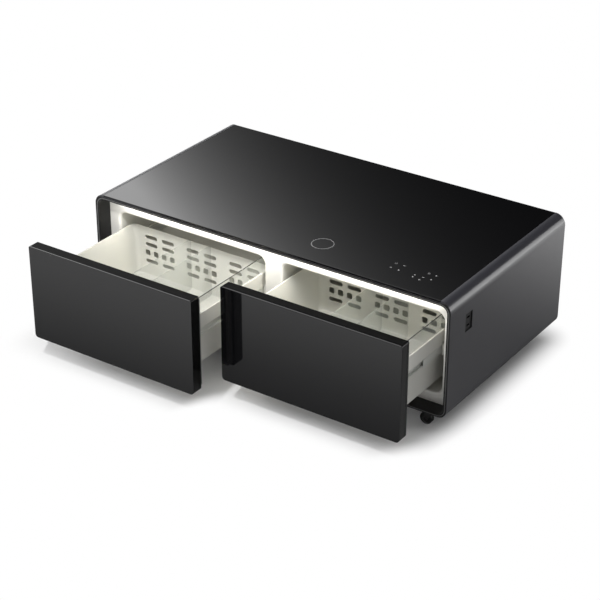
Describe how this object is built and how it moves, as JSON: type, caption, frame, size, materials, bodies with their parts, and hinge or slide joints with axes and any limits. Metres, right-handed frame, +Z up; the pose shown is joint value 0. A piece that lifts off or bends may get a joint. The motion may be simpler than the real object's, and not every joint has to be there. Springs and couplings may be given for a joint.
{
  "type": "refrigerator coffee table",
  "caption": "Low cabinet on casters with a glass top and refrigerated pull-out drawers, shown with the drawers partly open.",
  "frame": {"origin": "on the floor, at the middle of the whole footprint with the drawers open as at rest", "axes": "+X along the front to the right as seen from the front, +Y to the back, +Z up"},
  "size_m": [1.3, 1.042, 0.45],
  "materials": {
    "shell_paint": "satin",
    "black_glass": "gloss",
    "black_trim": "satin",
    "bead_metal": "satin",
    "white_plastic": "satin",
    "liner_plastic": "satin",
    "foam": "matte",
    "rear_paint": "matte",
    "screw_steel": "satin",
    "tray_steel": "satin",
    "compressor_paint": "satin",
    "fin_aluminium": "satin",
    "fan_plastic": "matte",
    "air_fan_plastic": "satin",
    "copper": "satin",
    "circuit_board": "satin",
    "pad_plastic": "matte",
    "led_diffuser": "satin",
    "inlet_plastic": "satin",
    "runner_steel": "satin",
    "front_frame_plastic": "satin",
    "seal_rubber": "matte",
    "clear_panel": "gloss",
    "caster_metal": "satin",
    "fork_plastic": "satin",
    "axle_steel": "satin",
    "wheel_plastic": "satin"
  },
  "bodies": {
    "cabinet": {"outer_shell": "shell_paint", "glass_top": "black_glass", "front_trim": "black_trim", "trim_bead": "bead_metal", "fascia": "white_plastic", "left_liner": "liner_plastic", "right_liner": "liner_plastic", "foam_insulation": "foam", "back_panel": "rear_paint", "panel_screws": "screw_steel", "base_tray": "tray_steel", "compressor": "compressor_paint", "condenser": "fin_aluminium", "fan_shroud": "fan_plastic", "refrigerant_pipes": "copper", "evaporators": "fin_aluminium", "duct_covers": "liner_plastic", "control_board": "circuit_board", "touch_board": "circuit_board", "charging_pad": "pad_plastic", "led_strip": "led_diffuser", "outlet_panel": "black_trim", "power_inlet": "inlet_plastic", "left_runner_outer": "runner_steel", "right_runner_outer": "runner_steel", "caster_plates": "caster_metal"},
    "left_drawer": {"left_front_glass": "black_glass", "left_front_frame": "front_frame_plastic", "left_front_core": "foam", "left_door_seal": "seal_rubber", "left_tub": "white_plastic", "left_gallery": "clear_panel", "left_dividers": "clear_panel", "left_runner_inner": "runner_steel"},
    "right_drawer": {"right_front_glass": "black_glass", "right_front_frame": "front_frame_plastic", "right_front_core": "foam", "right_door_seal": "seal_rubber", "right_tub": "white_plastic", "right_gallery": "clear_panel", "right_dividers": "clear_panel", "right_runner_inner": "runner_steel"},
    "left_runner": {"left_runner_middle": "runner_steel"},
    "right_runner": {"right_runner_middle": "runner_steel"},
    "condenser_fan": {"condenser_fan": "fan_plastic"},
    "left_air_fan": {"left_air_fan": "air_fan_plastic"},
    "right_air_fan": {"right_air_fan": "air_fan_plastic"},
    "front_left_fork": {"front_left_fork": "fork_plastic", "front_left_axle": "axle_steel"},
    "front_left_wheel": {"front_left_wheel": "wheel_plastic"},
    "front_right_fork": {"front_right_fork": "fork_plastic", "front_right_axle": "axle_steel"},
    "front_right_wheel": {"front_right_wheel": "wheel_plastic"},
    "rear_left_fork": {"rear_left_fork": "fork_plastic", "rear_left_axle": "axle_steel"},
    "rear_left_wheel": {"rear_left_wheel": "wheel_plastic"},
    "rear_right_fork": {"rear_right_fork": "fork_plastic", "rear_right_axle": "axle_steel"},
    "rear_right_wheel": {"rear_right_wheel": "wheel_plastic"}
  },
  "joints": [
    {"name": "left_drawer_slide", "type": "slide", "parent": "cabinet", "child": "left_drawer", "axis": [0, -1, 0], "range_m": [-0.342, 0.058]},
    {"name": "right_drawer_slide", "type": "slide", "parent": "cabinet", "child": "right_drawer", "axis": [0, -1, 0], "range_m": [-0.22, 0.18]},
    {"name": "left_runner_slide", "type": "slide", "parent": "cabinet", "child": "left_runner", "axis": [0, -1, 0], "range_m": [-0.171, 0.029]},
    {"name": "right_runner_slide", "type": "slide", "parent": "cabinet", "child": "right_runner", "axis": [0, -1, 0], "range_m": [-0.11, 0.09]},
    {"name": "condenser_fan_spin", "type": "hinge", "parent": "cabinet", "child": "condenser_fan", "pos_m": [0, 0.4925, 0.1692], "axis": [0, 1, 0], "continuous": true},
    {"name": "left_air_fan_spin", "type": "hinge", "parent": "cabinet", "child": "left_air_fan", "pos_m": [-0.3157, 0.3253, 0.318], "axis": [0, 1, 0], "continuous": true},
    {"name": "right_air_fan_spin", "type": "hinge", "parent": "cabinet", "child": "right_air_fan", "pos_m": [0.3157, 0.3253, 0.318], "axis": [0, 1, 0], "continuous": true},
    {"name": "front_left_swivel", "type": "hinge", "parent": "cabinet", "child": "front_left_fork", "pos_m": [-0.576, -0.128, 0.06], "axis": [0, 0, 1], "continuous": true},
    {"name": "front_left_wheel_spin", "type": "hinge", "parent": "front_left_fork", "child": "front_left_wheel", "pos_m": [-0.594, -0.128, 0.02], "axis": [0, 1, 0], "continuous": true},
    {"name": "front_right_swivel", "type": "hinge", "parent": "cabinet", "child": "front_right_fork", "pos_m": [0.576, -0.128, 0.06], "axis": [0, 0, 1], "continuous": true},
    {"name": "front_right_wheel_spin", "type": "hinge", "parent": "front_right_fork", "child": "front_right_wheel", "pos_m": [0.558, -0.128, 0.02], "axis": [0, 1, 0], "continuous": true},
    {"name": "rear_left_swivel", "type": "hinge", "parent": "cabinet", "child": "rear_left_fork", "pos_m": [-0.576, 0.47, 0.06], "axis": [0, 0, 1], "continuous": true},
    {"name": "rear_left_wheel_spin", "type": "hinge", "parent": "rear_left_fork", "child": "rear_left_wheel", "pos_m": [-0.594, 0.47, 0.02], "axis": [0, 1, 0], "continuous": true},
    {"name": "rear_right_swivel", "type": "hinge", "parent": "cabinet", "child": "rear_right_fork", "pos_m": [0.576, 0.47, 0.06], "axis": [0, 0, 1], "continuous": true},
    {"name": "rear_right_wheel_spin", "type": "hinge", "parent": "rear_right_fork", "child": "rear_right_wheel", "pos_m": [0.558, 0.47, 0.02], "axis": [0, 1, 0], "continuous": true}
  ],
  "couplings": [
    {"joint": "left_runner_slide", "follows": "left_drawer_slide", "ratio": 0.5},
    {"joint": "right_runner_slide", "follows": "right_drawer_slide", "ratio": 0.5}
  ]
}
